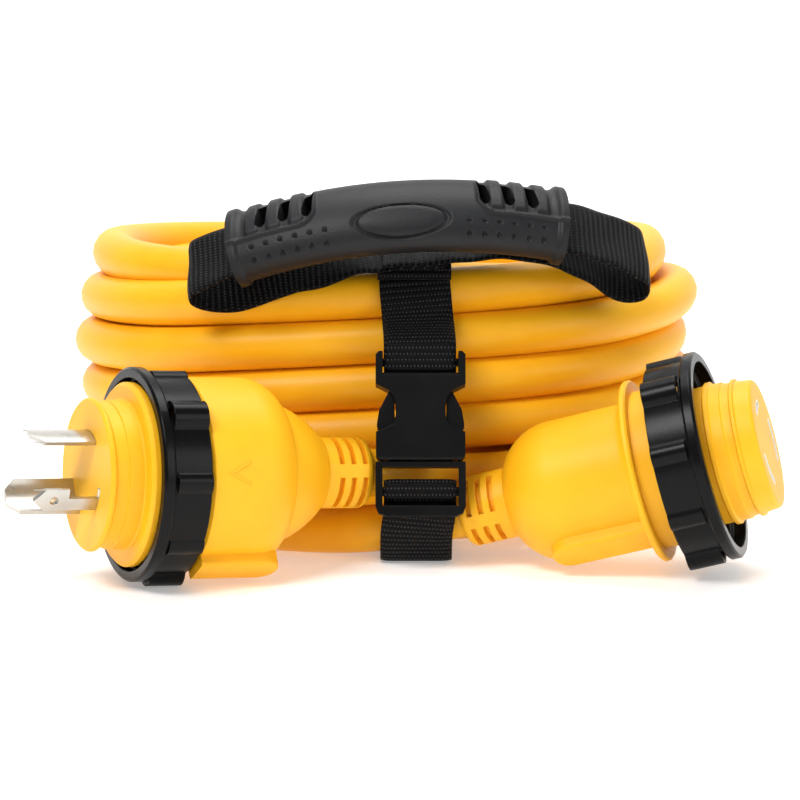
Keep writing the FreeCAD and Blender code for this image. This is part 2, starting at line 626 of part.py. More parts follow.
def make_handle():
    where = handle_frame()
    grip = along_grip(oval(GRIP_W, GRIP_T, GRIP_RISE), GRIP_HALF_L)
    core = along_grip(oval(GRIP_W - 2.4, GRIP_T - 2.4, GRIP_RISE), GRIP_HALF_L + 1)
    channel = along_grip(slot_wire(WEB_W + 1.0, WEB_T + 0.8, GRIP_RISE), GRIP_HALF_L + 2)
    # oval pad let into the front of the grip
    pad_face = -10.0
    pad_turn = 29.0
    tools = []
    for trim in (0.0, 0.2):
        ellipse = Part.Ellipse(V(0, 0, 0), 15.8 - trim, 5.8 - trim)
        tool = Part.Face(Part.Wire([ellipse.toShape()])).extrude(V(0, 0, 14))
        tool.rotate(V(0, 0, 0), V(1, 0, 0), pad_turn)
        tool.translate(V(1.5, pad_face * 0.8, GRIP_RISE + 3.2))
        tools.append(tool)
    skin = grip.cut(core)
    pocket, pad = skin.common(tools[0]), skin.common(tools[1])
    windows = []
    for side in (-1, 1):
        for place in (29.7, 37.8, 45.7):
            u = side * place
            window = box(-1.9, 1.9, -2.4, 5.6, 0, 14)
            window.rotate(V(0, 0, 0), V(0, 1, 0), math.degrees(math.asin(u / GRIP_ARC_R)))
            window.translate(V(u, 0, arc_height(u)))
            windows.append(window)
    grip = grip.cut(pocket).cut(Part.makeCompound([channel] + windows))
    NODES["handle_grip"] = placed(grip.removeSplitter(), where)
    NODES["handle_pad"] = placed(pad, where)

    # the loop of webbing: from the seam round the left fold, through the grip's arc and
    # round the right fold back to the seam
    left = [(-8.5, 1.2), (-24.0, 5.0), (-42.0, 2.0), (-60.0, -5.2), (-75.5, -4.6), (-76.5, 2.8),
            (-62.0, arc_tangent(62.0))]
    right = [(63.0, arc_tangent(63.0)), (90.0, -6.2), (89.5, -15.0), (80.0, -14.5), (62.0, -1.0),
             (40.0, 4.5), (21.0, 1.2)]
    loop = [V(u, 0, n) for u, n in left + [(0.0, arc_tangent(0.0))] + right]
    radii = [30.0, 40.0, 25.0, 3.4, 3.4, 25.0, GRIP_ARC_R, 25.0, 4.0, 4.0, 12.0, 20.0, 30.0]
    webbing = band(loop, radii, V(0, 1, 0), WEB_W, WEB_T)
    NODES["handle_webbing"] = placed(webbing, where)

    # the middle of the same webbing, sewn to the strap where it turns over the bundle
    radius = COIL_EDGE_R + GAP + 1.5 * WEB_T + 0.1
    centre = V(STRAP_X, -COIL_END_R + COIL_EDGE_R, COIL_H - COIL_EDGE_R)
    foot = over_the_top(in_buckle(31.0, 2.4), radius)[0] + 3.0

    def on_edge(degrees):
        angle = math.radians(degrees)
        return centre + V(0, -math.cos(angle), math.sin(angle)) * radius

    top, flat_end = on_edge(90.0), on_edge(90.0) + V(0, 12.0, 0)
    wire = Part.Wire([Part.LineSegment(flat_end, top).toShape(),
                      Part.Arc(top, on_edge((90.0 + foot) / 2), on_edge(foot)).toShape()])
    side, lift = V(SEAM_L / 2, 0, 0), V(0, 0, WEB_T / 2)
    corners = [flat_end + side + lift, flat_end - side + lift, flat_end - side - lift,
               flat_end + side - lift]
    profile = Part.makePolygon(corners + corners[:1])
    NODES["handle_seam"] = wire.makePipeShell([profile], True, False)
    stitches = []
    for row in (1.6, 5.4, 9.2):
        y = centre.y + row
        z = centre.z + radius + WEB_T / 2
        stitches.append(box(STRAP_X - 11.5, STRAP_X + 11.5, y - 0.35, y + 0.35, z, z + 0.35))
    NODES["seam_stitching"] = Part.makeCompound(stitches)
    return where


def main():
    make_coil()
    make_leads()
    plug_at = make_plug()
    conn_at = make_connector()
    make_strap()
    buckle_at = make_buckle()
    handle_at = make_handle()
    os.makedirs("parts", exist_ok=True)
    whole = FreeCAD.BoundBox()
    for name in sorted(NODES):
        shape = NODES[name].copy()
        shape.translate(-BOX_CENTRE)
        shape.exportStep("parts/" + name + ".step")
        whole.add(shape.optimalBoundingBox(True, False))
        print(name, "valid", shape.isValid(), "solids", len(shape.Solids),
              "volume", round(shape.Volume, 1))
    print("box", [round(v, 2) for v in (whole.XMin, whole.XMax, whole.YMin, whole.YMax,
                                        whole.ZMin, whole.ZMax)])
    for name, where in (("plug", plug_at), ("connector", conn_at), ("buckle", buckle_at),
                        ("handle", handle_at)):
        base = where.Base - BOX_CENTRE
        print(name, "origin", [round(v, 3) for v in base], "axes",
              [[round(v, 5) for v in where.Rotation.multVec(axis)]
               for axis in (V(1, 0, 0), V(0, 1, 0), V(0, 0, 1))])


main()
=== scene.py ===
import math

import bmesh
import bpy
from mathutils import Matrix, Vector


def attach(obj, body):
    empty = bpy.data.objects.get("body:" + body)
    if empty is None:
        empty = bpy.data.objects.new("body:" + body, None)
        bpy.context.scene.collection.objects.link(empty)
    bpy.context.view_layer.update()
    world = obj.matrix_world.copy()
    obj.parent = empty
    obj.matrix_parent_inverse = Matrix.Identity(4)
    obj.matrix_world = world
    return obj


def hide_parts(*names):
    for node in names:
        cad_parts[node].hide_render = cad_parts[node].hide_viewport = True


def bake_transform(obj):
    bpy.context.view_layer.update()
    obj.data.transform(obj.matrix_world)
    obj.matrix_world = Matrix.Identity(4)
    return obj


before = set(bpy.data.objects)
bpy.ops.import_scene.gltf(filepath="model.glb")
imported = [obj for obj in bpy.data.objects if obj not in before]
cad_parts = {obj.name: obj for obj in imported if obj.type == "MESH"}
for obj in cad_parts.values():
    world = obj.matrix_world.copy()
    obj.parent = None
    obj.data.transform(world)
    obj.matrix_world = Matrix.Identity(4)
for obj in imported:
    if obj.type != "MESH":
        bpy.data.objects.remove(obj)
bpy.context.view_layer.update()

MM = 0.001
BOX_CENTRE = Vector((5.52, -44.99, 0.0))     # the model's origin, in the coil's own axes, mm

# The cord and its coil, mm in the coil's axes
CORD_D = 17.0
INNER_TURNS = 6
OUTER_R, INNER_R, STRAIGHT_HALF = 88.0, 71.0, 25.0
STEPS = 20                                   # control points in each turn
# Each outer turn's radius at its left and right end, from the lowest up
TURN_RADII = [(85.0, 86.0), (85.0, 86.0), (83.5, 83.2), (86.0, 87.5), (83.5, 74.0)]
# Height of the cord's middle at each part of a turn: in a column's first turn, and the change
# from one turn to the next. The outer column is climbed and the inner one descended.
OUTER_Z = {"left": (15.6, 17.0), "front": (27.4, 16.4), "right": (38.2, 16.05),
           "back": (28.2, 16.45)}
INNER_Z = {"left": (103.8, -15.8), "bend": (101.8, -15.8), "front": (95.0, -16.9),
           "right": (87.0, -15.0), "back": (92.0, -16.6)}
LEAD_STRAIGHT = 18.0                         # the cord leaves both ends straight for this long

# The ends, the buckle, the strap and the handle, as in the CAD, mm in the coil's axes
PLUG_END, PLUG_YAW, PLUG_PITCH = Vector((-7.0, -117.0, 33.0)), 204.4, 3.7
CONN_L, CONN_END, CONN_YAW, CONN_PITCH = 111.0, Vector((29.0, -114.0, 18.0)), -13.0, 15.2
BUCKLE_MID, BUCKLE_LEAN = Vector((13.2, -124.4, 47.8)), 17.0
STRAP_X = 13.0
STRAP_TOP_X, STRAP_LOW_X = STRAP_X - 1.9, STRAP_X - 1.3
WEB_W, WEB_T, SEAM_W = 25.4, 1.6, 26.4
STITCH_ROWS, STITCHES, STITCH_PITCH, STITCH_L = (-86.4, -82.6, -78.8), 8, 2.9, 2.3
STITCH_R, STITCH_Z, STITCH_LIFT = 0.32, 106.05, 0.35
ROW_PITCH, THREAD_PITCH = 0.0021, 0.00125    # of the weave, metres
HANDLE_SEAM, HANDLE_UP, HANDLE_ROLL = Vector((6.0, -88.5, 105.6)), 50.0, 4.0
GRIP_HALF_L, GRIP_ARC_R, GRIP_RISE = 57.5, 165.0, 21.8
GRIP_W, GRIP_T = 31.0, 19.0
WINDOWS = (29.7, 37.8, 45.7)                 # each window's distance from the grip's middle
WINDOW_MID, WINDOW_HALF, WINDOW_R = 3.6, 3.9, 1.9
RIBS = (25.9, 33.8, 41.8, 49.6)              # the raised ribs beside the windows
ZONE_START, ZONE_EDGE, ZONE_CORNER = 27.5, -6.0, 6.0
DOT_ROWS, DOTS, DOT_START, DOT_PITCH, DOT_R = (-9.4, -13.4), 6, 24.5, 5.2, 0.62
PAD_MID, PAD_HALF = (1.5, -8.6), (15.8, 5.6)

# The connector's curved slots: middle angle and angle covered, on one circle
SLOTS = ((80, 50), (222, 56), (-26, 32))
SLOT_TURN, SLOT_ROOM, SLOT_R, SLOT_HALF_T, SLOT_DEPTH = 46, 4, 14.5, 1.3, 4.8
LINER_FIT, LINER_IN, LINER_OUT = 0.02, 0.55, 0.12

# The camera: 1.1 m in front of the bundle and a little above it, looking slightly down
CAMERA_AT = Vector((0.48, -1155.0, 221.0))
CAMERA_DOWN, CAMERA_LENS = 8.51, 139.86


# ------------------------------------------------------------------ places
def at(x, y, z):
    """Point in the row frame, in metres, of a point in the coil's axes."""
    return (Vector((x, y, z)) - BOX_CENTRE) * MM


def nose_direction(yaw, pitch):
    a, b = math.radians(yaw), math.radians(pitch)
    return Vector((math.cos(a) * math.cos(b), math.sin(a) * math.cos(b), math.sin(b)))


def axes(origin, x, y, z):
    """Matrix from a part's own axes, in mm, to the row frame, in metres."""
    m = Matrix((x, y, z)).transposed().to_4x4() @ Matrix.Scale(MM, 4)
    m.translation = (origin - BOX_CENTRE) * MM
    return m


def end_axes(cord_end, yaw, pitch, length):
    z = nose_direction(yaw, pitch)
    x = Vector((0, 0, 1)).cross(z).normalized()
    return axes(cord_end + z * length, x, z.cross(x), z)


def handle_axes():
    up, roll = math.radians(HANDLE_UP), math.radians(HANDLE_ROLL)
    turn = Matrix.Rotation(-roll, 3, "Y")
    return axes(HANDLE_SEAM, turn @ Vector((1, 0, 0)),
                turn @ Vector((0, math.sin(up), math.cos(up))),
                turn @ Vector((0, -math.cos(up), math.sin(up))))


CONN = end_axes(CONN_END, CONN_YAW, CONN_PITCH, CONN_L)
HANDLE = handle_axes()


# ------------------------------------------------------------------ camera
def make_camera():
    data = bpy.data.cameras.new("camera")
    data.sensor_width = 36.0
    data.lens = CAMERA_LENS
    camera = bpy.data.objects.new("camera", data)
    camera.location = CAMERA_AT * MM
    camera.rotation_euler = (math.radians(90 - CAMERA_DOWN), 0, 0)
    bpy.context.scene.collection.objects.link(camera)
    bpy.context.scene.camera = camera


# ------------------------------------------------------------------ materials
class Nodes:
    """A material's node tree, with short calls to add and join nodes."""

    def __init__(self, name, rough, **fixed):
        self.material = bpy.data.materials.new(name)
        self.material.use_nodes = True
        self.tree = self.material.node_tree
        self.shader = self.tree.nodes["Principled BSDF"]
        self.shader.inputs["Roughness"].default_value = rough
        for socket, value in fixed.items():
            self.shader.inputs[socket.replace("_", " ")].default_value = value

    def add(self, kind, settings=None, **inputs):
        node = self.tree.nodes.new("ShaderNode" + kind)
        for key, value in (settings or {}).items():
            setattr(node, key, value)
        for key, value in inputs.items():
            socket = node.inputs[int(key[1:])] if key[0] == "i" and key[1:].isdigit() \
                else node.inputs[key.replace("_", " ")]
            if isinstance(value, bpy.types.NodeSocket):
                self.tree.links.new(value, socket)
            else:
                socket.default_value = value
        return node

    def math(self, operation, a, b=0.0):
        return self.add("Math", {"operation": operation}, i0=a, i1=b).outputs[0]

    def noise(self, scale, detail=3.0, vector=None):
        place = vector or self.add("TexCoord").outputs["Object"]
        return self.add("TexNoise", Vector=place, Scale=scale, Detail=detail).outputs["Fac"]

    def ramp(self, value, stops):
        node = self.add("ValToRGB", Fac=value)
        ramp = node.color_ramp
        ramp.elements[0].position, ramp.elements[0].color = stops[0][0], (*stops[0][1], 1)
        ramp.elements[1].position, ramp.elements[1].color = stops[-1][0], (*stops[-1][1], 1)
        for place, color in stops[1:-1]:
            ramp.elements.new(place).color = (*color, 1)
        return node.outputs["Color"]

    def spread(self, value, low, high):
        """A 0..1 value taken to low..high."""
        return self.add("MapRange", Value=value, To_Min=low, To_Max=high).outputs["Result"]

    def out(self, color=None, rough=None, height=None, strength=0.3, distance=0.0004, edge=0.0):
        if color is not None:
            self.tree.links.new(color, self.shader.inputs["Base Color"])
        if rough is not None:
            self.tree.links.new(rough, self.shader.inputs["Roughness"])
        normal = None
        if edge:
            normal = self.add("Bevel", {"samples": 6}, Radius=edge).outputs["Normal"]
        if height is not None:
            bump = self.add("Bump", Height=height, Strength=strength, Distance=distance)
            if normal:
                self.tree.links.new(normal, bump.inputs["Normal"])
            normal = bump.outputs["Normal"]
        if normal:
            self.tree.links.new(normal, self.shader.inputs["Normal"])
        return self.material


def yellow_rubber(name, rough, grain, edge=0.0):
    """Satin yellow PVC: faint mottling of its colour and shine, and a fine grain."""
    n = Nodes(name, rough, Specular_IOR_Level=0.30, Subsurface_Weight=0.04, Subsurface_Scale=0.004)
    n.shader.inputs["Subsurface Radius"].default_value = (1.0, 0.5, 0.1)
    broad, fine = n.noise(38.0, 4.0), n.noise(900.0, 2.0)
    color = n.ramp(broad, [(0.30, (0.90, 0.425, 0.006)), (0.55, (0.95, 0.47, 0.009)),
                           (0.80, (0.975, 0.505, 0.014))])
    mixed = n.math("ADD", n.math("MULTIPLY", broad, 0.7), n.math("MULTIPLY", fine, 0.3))
    return n.out(color, n.spread(mixed, rough - 0.07, rough + 0.10), n.noise(grain, 2.0), 0.22,
                 0.00012, edge)


def black_plastic(name, rough, grain, tone, edge):
    """Moulded black plastic: a fine grain, paler and rougher in patches."""
    n = Nodes(name, rough, Specular_IOR_Level=0.14)
    broad = n.noise(60.0, 5.0)
    color = n.ramp(broad, [(0.3, (tone, tone, tone * 1.05)), (0.75, (tone * 1.7,) * 3)])
    return n.out(color, n.spread(broad, rough - 0.08, rough + 0.12), n.noise(grain, 3.0), 0.25,
                 0.00010, edge)


def metal(name, color, rough):
    """Plated metal with fine drawn lines along X and a few dull patches."""
    n = Nodes(name, rough, Metallic=1.0)
    place = n.add("TexCoord").outputs["Object"]
    stretched = n.add("Mapping", Vector=place, Scale=(60.0, 1400.0, 1400.0)).outputs["Vector"]
    lines = n.noise(1.0, 2.0, stretched)
    patch = n.noise(120.0, 4.0)
    tint = n.ramp(patch, [(0.3, tuple(c * 0.86 for c in color)), (0.7, color)])
    return n.out(tint, n.spread(patch, rough - 0.06, rough + 0.12), lines, 0.10, 0.00004, 0.0003)


def webbing(name):
    """Black woven nylon: ribs across the width, a row of short threads on each painted pale as
    highlights, fibres.
    """
    n = Nodes(name, 0.6, Specular_IOR_Level=0.10, Sheen_Weight=0.02, Sheen_Roughness=0.4)
    place = n.add("UVMap").outputs["UV"]
    split = n.add("SeparateXYZ", Vector=place)
    row = n.math("DIVIDE", split.outputs["Y"], ROW_PITCH)
    shifted = n.math("ADD", n.math("DIVIDE", split.outputs["X"], THREAD_PITCH),
                     n.math("MULTIPLY", n.math("FLOOR", row), 0.5))
    rib = n.math("SINE", n.math("MULTIPLY", n.math("FRACT", row), math.pi))
    thread = n.math("SINE", n.math("MULTIPLY", n.math("FRACT", shifted), math.pi))
    floats = n.math("MULTIPLY", n.math("POWER", rib, 2.5), n.math("POWER", thread, 0.8))
    fibre = n.add("TexNoise", Vector=place, Scale=4200.0, Detail=3.0).outputs["Fac"]
    floats_and_glints = n.math("MULTIPLY", floats, n.spread(fibre, 0.55, 1.3))
    # the thread floats get a paler colour: painted highlights that stand in for glints of light on the
    # weave
    color = n.ramp(floats_and_glints, [(0.0, (0.0012, 0.0012, 0.0014)), (0.60, (0.004, 0.004, 0.0045)),
                          (0.84, (0.020, 0.020, 0.022)), (1.0, (0.13, 0.13, 0.135))])
    return n.out(color, n.spread(fibre, 0.45, 0.7), floats_and_glints, 0.9, 0.0005)


def grip_rubber(name, tone, rough):
    """Soft dark rubber with a fine leathery grain."""
    n = Nodes(name, rough, Specular_IOR_Level=0.26)
    place = n.add("TexCoord").outputs["Object"]
    cells = n.add("TexVoronoi", {"feature": "F1"}, Vector=place, Scale=1500.0).outputs["Distance"]
    broad = n.noise(45.0, 4.0)
    color = n.ramp(broad, [(0.3, (tone * 0.85, tone * 0.88, tone)),
                           (0.7, (tone * 1.2, tone * 1.24, tone * 1.36))])
    return n.out(color, n.spread(broad, rough - 0.06, rough + 0.08), cells, 0.45, 0.00012)


def plain_floor(name):
    n = Nodes(name, 0.55, Emission_Strength=0.30)
    color = n.ramp(n.noise(3.0, 2.0), [(0.3, (0.93, 0.93, 0.93)), (0.7, (0.95, 0.95, 0.95))])
    return n.out(color)


JACKET = yellow_rubber("cord_jacket", 0.40, 1500.0)
SHELL = yellow_rubber("end_shell", 0.45, 1100.0, 0.0004)
RING = black_plastic("ring_plastic", 0.24, 500.0, 0.0018, 0.0006)
BUCKLE = black_plastic("buckle_plastic", 0.36, 2600.0, 0.0022, 0.0005)
SEAL = black_plastic("seal_rubber", 0.60, 900.0, 0.008, 0.0003)
WEBBING = webbing("woven_webbing")
GRIP = grip_rubber("grip_rubber", 0.010, 0.46)
NICKEL = metal("nickel_plate", (0.56, 0.54, 0.49), 0.27)
BRASS = metal("brass_contact", (0.83, 0.62, 0.28), 0.30)


def ivory_plastic(name):
    n = Nodes(name, 0.45, Specular_IOR_Level=0.45)
    broad = n.noise(90.0, 4.0)
    color = n.ramp(broad, [(0.3, (0.80, 0.79, 0.74)), (0.7, (0.90, 0.89, 0.85))])
    return n.out(color, n.spread(broad, 0.38, 0.55), n.noise(1600.0), 0.15, 0.0001, 0.0003)


IVORY = ivory_plastic("ivory_insulator")

NODE_MATERIALS = {
    "plug_body": SHELL, "connector_body": SHELL, "plug_core": IVORY, "connector_core": IVORY,
    "plug_locking_ring": RING, "connector_locking_ring": RING, "plug_ring_seal": SEAL,
    "connector_ring_seal": SEAL, "buckle_female": BUCKLE, "buckle_male": BUCKLE,
    "buckle_prong_left": BUCKLE, "buckle_prong_right": BUCKLE, "plug_blade": NICKEL,
    "connector_contact": BRASS, "plug_wire": SEAL, "connector_wire": SEAL,
}


def finish_cad_nodes():
    """Every CAD node that stays in sight gets its detailed material."""
    for name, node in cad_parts.items():
        for start, material in NODE_MATERIALS.items():
            if name.startswith(start):
                node.data.materials.clear()
                node.data.materials.append(material)


# ------------------------------------------------------------------ the cord
def on_turn(turn, radius, height):
    """Point of the coil; turn 0 is at the left end, 0.25 in front, and so on."""
    angle = math.pi * (1 + 2 * turn)
    c, s = math.cos(angle), math.sin(angle)
    shift = STRAIGHT_HALF * max(-1.0, min(1.0, 2.2 * c))
    out = radius / math.cos(math.pi / STEPS)     # the curve runs inside its control points
    return at(shift + out * c, out * s, height)


def height(column, part, turn):
    first, change = column[part]
    return first + change * turn


def coil_stations():
    """Turn, radius and height at about each quarter: up the outer column from the plug's lead,
    over to the inner one, down it, and once round the outer one at the bottom."""
    stations = [(0.29, OUTER_R, 28.0)]
    for k, (left_r, right_r) in enumerate(TURN_RADII):
        if k:
            left_z = height(OUTER_Z, "left", k)
            stations += [(k, left_r, left_z), (k + 0.13, left_r + 2, left_z + 3),
                         (k + 0.25, OUTER_R, height(OUTER_Z, "front", k))]
        stations += [(k + 0.5, right_r, height(OUTER_Z, "right", k)),
                     (k + 0.75, OUTER_R - 1, height(OUTER_Z, "back", k))]
    over = len(TURN_RADII)
    stations += [(over, 79.0, 100.6), (over + 0.1, 79.0, 99.3), (over + 0.19, INNER_R + 3.5, 98.2)]
    for j in range(INNER_TURNS):
        turn = over + j
        if j:
            stations += [(turn, INNER_R, height(INNER_Z, "left", j)),
                         (turn + 0.19, INNER_R, height(INNER_Z, "bend", j))]
        stations += [(turn + 0.27, INNER_R, height(INNER_Z, "front", j)),
                     (turn + 0.5, INNER_R - 1, height(INNER_Z, "right", j)),
                     (turn + 0.75, INNER_R, height(INNER_Z, "back", j))]
    last = over + INNER_TURNS
    stations += [(last, INNER_R, 9.0), (last + 0.14, INNER_R, 9.2), (last + 0.25, OUTER_R - 1, 10.3),
                 (last + 0.5, OUTER_R, 20.0), (last + 0.75, OUTER_R, 11.7),
                 (last + 1, OUTER_R - 4, 15.8), (last + 1.1, OUTER_R - 2, 10.6)]
    return stations


def coil_points():
    stations = coil_stations()
    points = []
    count = round((stations[-1][0] - stations[0][0]) * STEPS)
    for i in range(1, count + 1):
        turn = stations[0][0] + i / STEPS
        for low, high in zip(stations, stations[1:]):
            if low[0] <= turn <= high[0]:
                share = (turn - low[0]) / (high[0] - low[0])
                radius = low[1] + (high[1] - low[1]) * share
                points.append(on_turn(turn, radius, low[2] + (high[2] - low[2]) * share))
                break
    return points


def make_cord():
    plug_nose = nose_direction(PLUG_YAW, PLUG_PITCH)
    conn_nose = nose_direction(CONN_YAW, CONN_PITCH)
    plug_lead = [at(*PLUG_END), at(*(PLUG_END - plug_nose * LEAD_STRAIGHT)),
                 at(28.0, -94.5, 27.5), at(46.0, -86.5, 27.0)]
    conn_lead = [at(-62.0, -80.5, 8.7), at(-38.0, -94.0, 8.9), at(-12.0, -104.5, 9.8),
                 at(*(CONN_END - conn_nose * LEAD_STRAIGHT)), at(*CONN_END)]
    points = plug_lead + coil_points() + conn_lead
    curve = bpy.data.curves.new("cord", "CURVE")
    curve.dimensions = "3D"
    spline = curve.splines.new("NURBS")
    spline.points.add(len(points) - 1)
    for point, place in zip(spline.points, points):
        point.co = (*place, 1.0)
    spline.order_u = 3
    spline.use_endpoint_u = True
    spline.resolution_u = 6
    curve.bevel_depth = CORD_D / 2 * MM
    curve.bevel_resolution = 6
    curve.use_fill_caps = True
    cord = bpy.data.objects.new("cord", curve)
    bpy.context.scene.collection.objects.link(cord)
    curve.materials.append(JACKET)
    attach(cord, "root")
    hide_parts("plug_lead", "cord_coil", "connector_lead")


# ------------------------------------------------------------------ mesh helpers
def new_mesh(name, vertices, faces, material, body, replaced=(), uvs=None, smooth=True):
    """Object from lists, riding on a body. The vertices are in metres in the row frame."""
    mesh = bpy.data.meshes.new(name)
    mesh.from_pydata([tuple(v) for v in vertices], [], faces)
    if uvs:
        layer = mesh.uv_layers.new(name="UVMap")
        for loop in mesh.loops:
            layer.data[loop.index].uv = uvs[loop.vertex_index]
    mesh.materials.append(material)
    mesh.validate()
    if smooth:
        mesh.shade_smooth()
    piece = bpy.data.objects.new(name, mesh)
    bpy.context.scene.collection.objects.link(piece)
    if body:
        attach(piece, body)
    if replaced:
        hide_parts(*replaced)
    return piece


def smooth_line(points, step=1.0, resolution=10):
    """Evenly spaced points on the NURBS line with these control points."""
    curve = bpy.data.curves.new("line", "CURVE")
    curve.dimensions = "3D"
    spline = curve.splines.new("NURBS")
    spline.points.add(len(points) - 1)
    for point, place in zip(spline.points, points):
        point.co = (*place, 1.0)
    spline.order_u = 3
    spline.use_endpoint_u = True
    spline.resolution_u = resolution
    holder = bpy.data.objects.new("line", curve)
    mesh = bpy.data.meshes.new_from_object(holder)
    line = [v.co.copy() for v in mesh.vertices]
    bpy.data.objects.remove(holder)
    bpy.data.meshes.remove(mesh)
    bpy.data.curves.remove(curve)
    spaced = [line[0]]
    left = step * MM
    for a, b in zip(line, line[1:]):
        length = (b - a).length
        gone = left
        while gone <= length:
            spaced.append(a.lerp(b, gone / length))
            gone += step * MM
        left = gone - length
    if (spaced[-1] - line[-1]).length > 0.3 * step * MM:
        spaced.append(line[-1])
    return spaced


def make_band(name, control, across, material, body, replaced=(), width=WEB_W, step=1.0,
              crumple=0.0):
    """Flat webbing along a smooth line. across(share) is the direction of its width, for the
    share of the line's length; the edges are rounded, and crumple, in mm, waves it a little."""
    line = smooth_line(control, step)
    columns = 14
    vertices, uvs, faces = [], [], []
    half, thick = width / 2 * MM, WEB_T / 2 * MM
    length = 0.0
    for i, place in enumerate(line):
        tangent = (line[min(i + 1, len(line) - 1)] - line[max(i - 1, 0)]).normalized()
        side = across(i / (len(line) - 1))
        side = (side - tangent * side.dot(tangent)).normalized()
        normal = tangent.cross(side)
        length += (place - line[i - 1]).length if i else 0.0
        for face in (1, -1):
            for j in range(columns + 1):
                x = -1 + 2 * j / columns
                high = thick * (1 - 0.55 * abs(x) ** 10)
                wave = math.sin(length * 260 + 2.1 * x * face) * math.cos(length * 95 - 1.3 * x * face)
                lift = face * high + crumple * MM * wave
                vertices.append(place + side * (x * face * half) + normal * lift)
                uvs.append((x * face * half, length))
    ring = 2 * (columns + 1)
    for i in range(len(line) - 1):
        for j in range(ring):
            a, b = i * ring + j, i * ring + (j + 1) % ring
            faces.append((a, b, b + ring, a + ring))
    faces.append(tuple(reversed(range(ring))))
    last = (len(line) - 1) * ring
    faces.append(tuple(range(last, last + ring)))
    piece = new_mesh(name, vertices, faces, material, body, replaced, uvs)
    return piece, length


# ------------------------------------------------------------------ the strap
def in_buckle(along, out_by):
    lean = math.radians(BUCKLE_LEAN)
    up = Vector((0, math.sin(lean), math.cos(lean)))
    out = Vector((0, -math.cos(lean), math.sin(lean)))
    point = BUCKLE_MID + up * along + out * out_by
    return at(STRAP_X, point.y, point.z)


def make_strap():
    """From the fold round the female bar, over the bundle, inside it, along the ground and
    round the male half's bar."""
    control = [in_buckle(34.5, -2.5), in_buckle(27.0, -2.5), in_buckle(23.0, -2.6),
               in_buckle(21.9, -1.0), in_buckle(21.9, 1.2), in_buckle(23.0, 2.6),
               in_buckle(27.5, 2.7), in_buckle(33.0, 3.2)]
    control += [at(STRAP_X - 0.7, -100.2, 86.0), at(STRAP_X - 1.5, -97.6, 94.5)]
    control += [at(STRAP_TOP_X, y, z) for y, z in (
        (-96.0, 100.5), (-91.5, 103.0), (-84.0, 103.4), (-72.0, 103.3), (-64.5, 103.0),
        (-61.4, 99.0), (-61.3, 88.0))]
    control += [at(STRAP_LOW_X, y, z) for y, z in (
        (-61.3, 50.0), (-61.3, 14.0), (-61.6, 5.0), (-64.8, 1.0), (-72.0, 0.9), (-95.0, 0.9),
        (-110.0, 0.9), (-115.5, 1.4), (-118.8, 5.0), (-124.5, 12.6))]
    control += [in_buckle(-27.0, -2.6), in_buckle(-21.0, -2.8), in_buckle(-17.4, -2.5),
                in_buckle(-16.5, -1.0), in_buckle(-16.5, 1.0), in_buckle(-17.4, 2.5),
                in_buckle(-20.5, 2.6), in_buckle(-22.8, 1.6)]
    strap, length = make_band("strap_band", control, lambda share: Vector((1, 0, 0)), WEBBING,
                              "root", ("strap_webbing",))


# ------------------------------------------------------------------ the handle
def on_handle(u, v, n):
    return HANDLE @ Vector((u, v, n))


def arc_height(u):
    return GRIP_RISE - GRIP_ARC_R + math.sqrt(GRIP_ARC_R ** 2 - u ** 2)


def turned_side(share, turns):
    """Direction across the webbing as it twists about u; turns are (share, degrees) in order."""
    angle = turns[-1][1]
    for (low, first), (high, last) in zip(turns, turns[1:]):
        if share <= high:
            t = max(0.0, (share - low) / (high - low))
            angle = first + (last - first) * t * t * (3 - 2 * t)
            break
    side = Vector((0, math.cos(math.radians(angle)), math.sin(math.radians(angle)), 0))
    return (HANDLE @ side).to_3d().normalized()


def make_handle_webbing():
    """Two lower runs that bend between the bundle and the handle, and the run in the grip."""
    left = [(16, 0, 1.0), (4, 0, 1.2), (-6, 0, 1.6), (-16, 0, 2.4), (-28, 0, 3.4), (-42, 0, 2.0),
            (-54, 0, -3.0), (-64, 0, -5.0), (-71.0, 0, -4.8), (-75.5, 0, -1.6), (-75.2, 0, 2.8),
            (-70.5, 0, 5.4), (-64.5, 0, 8.0), (-57, 0, arc_height(57)), (-50, 0, arc_height(50))]
    right = [(-6, 0, 2.9), (4, 0, 3.0), (16, 0, 2.9), (26, 0, 3.4), (40, 0, 5.6), (52, 0, 4.2),
             (64, 0, -3.4), (74, 0, -12.6), (80, 0, -16.4), (86.2, 0, -16.0), (88.6, 0, -11.5),
             (88.0, 0, -6.5), (83, 0, -2.8), (74, 0, 3.6), (64, 0, arc_height(62) - 0.6),
             (57, 0, arc_height(57)), (50, 0, arc_height(50))]
    top = [(u, 0, arc_height(u)) for u in range(-50, 51, 10)]
    left_turns = [(0.0, -26.0), (0.22, -24.0), (0.40, 12.0), (0.60, 20.0), (0.74, 6.0), (0.9, 0.0)]
    right_turns = [(0.0, -26.0), (0.22, -24.0), (0.45, -4.0), (0.66, 6.0), (0.85, 0.0)]
    for name, run, turns, inner, outer in (
            ("handle_band_left", left, left_turns, -10, -48),
            ("handle_band_right", right, right_turns, 20, 60)):
        piece, length = make_band(name, [on_handle(*p) for p in run],
                                  lambda share, turns=turns: turned_side(share, turns),
                                  WEBBING, None, crumple=0.5)
        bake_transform(piece)
    run, length = make_band("handle_band_top", [on_handle(*p) for p in top],
                            lambda share: turned_side(share, [(0.0, 0.0)]), WEBBING, "handle",
                            ("handle_webbing",))


